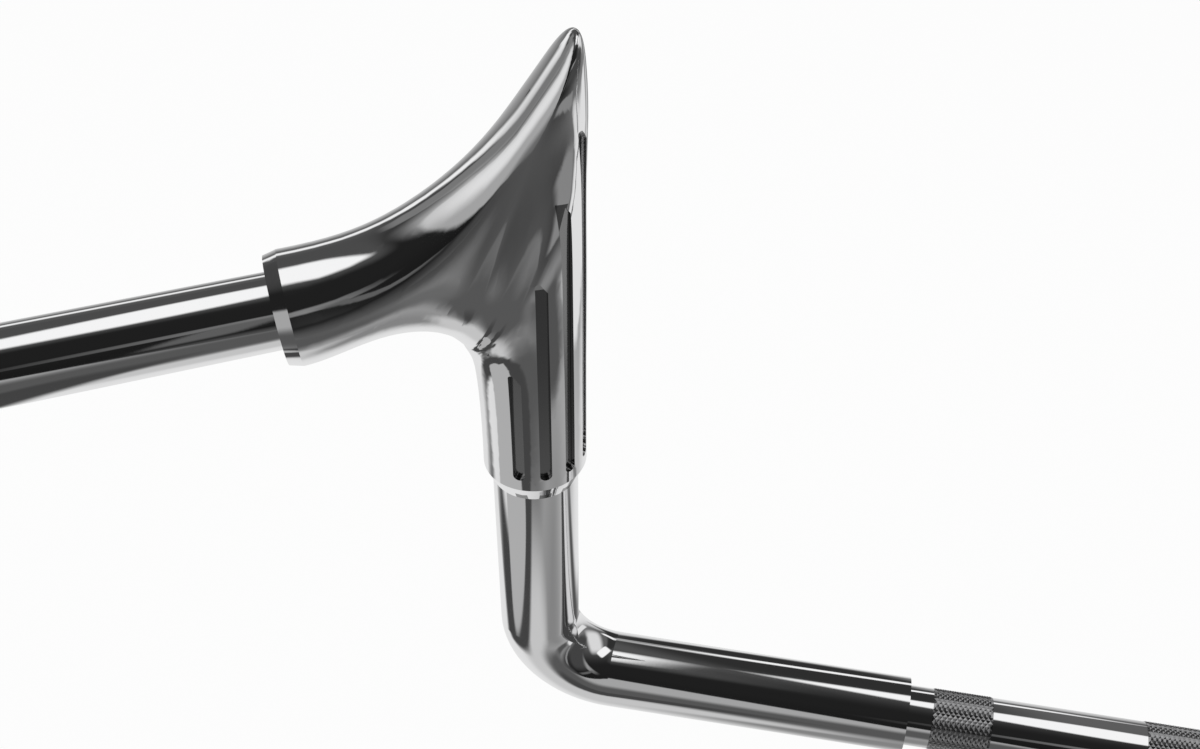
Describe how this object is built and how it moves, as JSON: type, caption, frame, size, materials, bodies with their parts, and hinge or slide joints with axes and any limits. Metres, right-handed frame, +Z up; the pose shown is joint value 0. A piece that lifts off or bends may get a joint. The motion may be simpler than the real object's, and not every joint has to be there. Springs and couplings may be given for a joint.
{
  "type": "motorcycle handlebar",
  "caption": "Low-rise motorcycle handlebar: knurled clamp tube, two bent rise tubes, fluted pointed corner pieces and straight tubes for the grips",
  "frame": {"origin": "middle of the centre tube, on its axis, where the two risers hold the bar", "axes": "+X to the rider's right along the centre tube, +Y forward, +Z up along the legs"},
  "size_m": [0.9834, 0.1626, 0.3148],
  "materials": {
    "tube_chrome": "mirror chrome plate on tube",
    "corner_chrome": "mirror chrome plate on a polished machined piece"
  },
  "bodies": {
    "root": {"centre_tube": "tube_chrome", "left_rise_tube": "tube_chrome", "right_rise_tube": "tube_chrome", "left_corner": "corner_chrome", "right_corner": "corner_chrome", "left_grip_tube": "tube_chrome", "right_grip_tube": "tube_chrome"}
  },
  "joints": []
}
